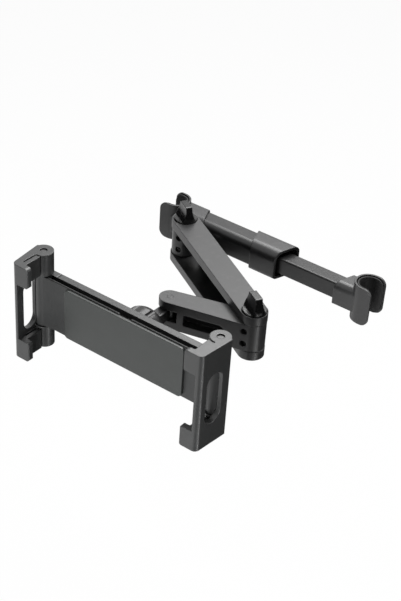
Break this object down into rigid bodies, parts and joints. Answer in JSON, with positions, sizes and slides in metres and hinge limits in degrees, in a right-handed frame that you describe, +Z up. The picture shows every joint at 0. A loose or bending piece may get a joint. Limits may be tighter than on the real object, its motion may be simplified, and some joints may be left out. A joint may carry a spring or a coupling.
{
  "type": "headrest tablet holder",
  "caption": "Folding tablet holder for a car headrest: sprung telescopic bar between the posts, jointed arm, ball joint and a self-centring clamp cradle.",
  "frame": {"origin": "left headrest post's axis at the bar's mid height", "axes": "+X along the bar to the right post, +Y away from the tablet, +Z up along the posts"},
  "size_m": [0.1746, 0.1728, 0.071],
  "materials": {
    "cradle_plastic": "satin",
    "arm_plastic": "satin",
    "bar_metal": "satin",
    "soft_pad": "matte",
    "steel": "brushed",
    "brass": "machined",
    "bearing_plastic": "smooth"
  },
  "bodies": {
    "base": {"left_hook": "cradle_plastic", "left_hook_pad": "soft_pad", "outer_tube": "bar_metal", "lock_collar": "cradle_plastic", "bar_guide": "bearing_plastic", "bar_spring": "steel", "shoulder_bush": "bearing_plastic", "shoulder_set_screws": "steel"},
    "sliding_bar": {"inner_bar": "bar_metal", "right_hook": "cradle_plastic", "right_hook_pad": "soft_pad"},
    "long_arm": {"upper_arm": "arm_plastic", "shoulder_bolt": "steel", "shoulder_washers": "steel", "elbow_bolt": "steel", "elbow_washers": "steel"},
    "knob_at_shoulder": {"shoulder_knob": "arm_plastic", "shoulder_knob_insert": "brass"},
    "knob_at_elbow": {"elbow_knob": "arm_plastic", "elbow_knob_insert": "brass"},
    "short_arm": {"lower_arm": "arm_plastic", "elbow_bush": "bearing_plastic", "elbow_set_screws": "steel", "stem_pin": "steel"},
    "stem": {"ball_stem": "arm_plastic"},
    "ball_bearing": {"ball_cup": "bearing_plastic", "ball_ring": "bearing_plastic"},
    "cradle": {"rear_housing": "cradle_plastic", "front_plate": "cradle_plastic", "housing_screws": "steel", "pinion_pin": "steel", "left_clamp_spring": "steel", "right_clamp_spring": "steel"},
    "nut": {"ball_nut": "cradle_plastic"},
    "gear": {"pinion": "bearing_plastic"},
    "left_jaw": {"left_slide": "cradle_plastic"},
    "right_jaw": {"right_slide": "cradle_plastic"},
    "left_grip": {"left_claw": "cradle_plastic", "left_claw_pin": "steel"},
    "right_grip": {"right_claw": "cradle_plastic", "right_claw_pin": "steel"}
  },
  "joints": [
    {"name": "bar_slide", "type": "slide", "parent": "base", "child": "sliding_bar", "axis": [1, 0, 0], "range_m": [-0.035, 0], "stiffness_N_per_m": 300, "springref_m": 0.02, "deforming": ["bar_spring"]},
    {"name": "shoulder", "type": "hinge", "parent": "base", "child": "long_arm", "pos_m": [0.0235, -0.0209, 0], "axis": [0, 0, 1], "range_deg": [-119, 30]},
    {"name": "shoulder_knob_turn", "type": "hinge", "parent": "long_arm", "child": "knob_at_shoulder", "pos_m": [0.0235, -0.0209, 0], "axis": [0, 0, 1], "range_deg": [0, 180]},
    {"name": "elbow", "type": "hinge", "parent": "long_arm", "child": "short_arm", "pos_m": [0.12333, -0.08017, 0], "axis": [0, 0, -1], "range_deg": [-120, 40]},
    {"name": "elbow_knob_turn", "type": "hinge", "parent": "long_arm", "child": "knob_at_elbow", "pos_m": [0.12333, -0.08017, 0], "axis": [0, 0, 1], "range_deg": [0, 180]},
    {"name": "stem_swing", "type": "hinge", "parent": "short_arm", "child": "stem", "pos_m": [0.06887, -0.09559, 0], "axis": [0, 0, 1], "range_deg": [-60, 30]},
    {"name": "ball_tilt", "type": "hinge", "parent": "stem", "child": "ball_bearing", "pos_m": [0.06887, -0.12229, 0], "axis": [1, 0, 0], "range_deg": [-20, 20]},
    {"name": "cradle_turn", "type": "hinge", "parent": "ball_bearing", "child": "cradle", "pos_m": [0.06887, -0.12229, 0], "axis": [0, 1, 0], "continuous": true},
    {"name": "nut_turn", "type": "hinge", "parent": "cradle", "child": "nut", "pos_m": [0.06887, -0.12229, 0], "axis": [0, 1, 0], "range_deg": [0, 120]},
    {"name": "left_clamp", "type": "slide", "parent": "cradle", "child": "left_jaw", "axis": [-1, 0, 0], "range_m": [0, 0.03], "stiffness_N_per_m": 150, "springref_m": -0.03, "deforming": ["left_clamp_spring"]},
    {"name": "right_clamp", "type": "slide", "parent": "cradle", "child": "right_jaw", "axis": [1, 0, 0], "range_m": [0, 0.03], "stiffness_N_per_m": 150, "springref_m": -0.03, "deforming": ["right_clamp_spring"]},
    {"name": "pinion_turn", "type": "hinge", "parent": "cradle", "child": "gear", "pos_m": [0.06887, -0.13828, 0], "axis": [0, 1, 0], "range_deg": [-288, 0]},
    {"name": "left_claw_fold", "type": "hinge", "parent": "left_jaw", "child": "left_grip", "pos_m": [-0.00048, -0.13828, 0], "axis": [0, 0, 1], "range_deg": [0, 70]},
    {"name": "right_claw_fold", "type": "hinge", "parent": "right_jaw", "child": "right_grip", "pos_m": [0.13822, -0.13828, 0], "axis": [0, 0, -1], "range_deg": [0, 70]}
  ],
  "couplings": [
    {"joint": "right_clamp", "follows": "left_clamp", "ratio": 1},
    {"joint": "pinion_turn", "follows": "left_clamp", "rad_per_m": -166.67}
  ]
}
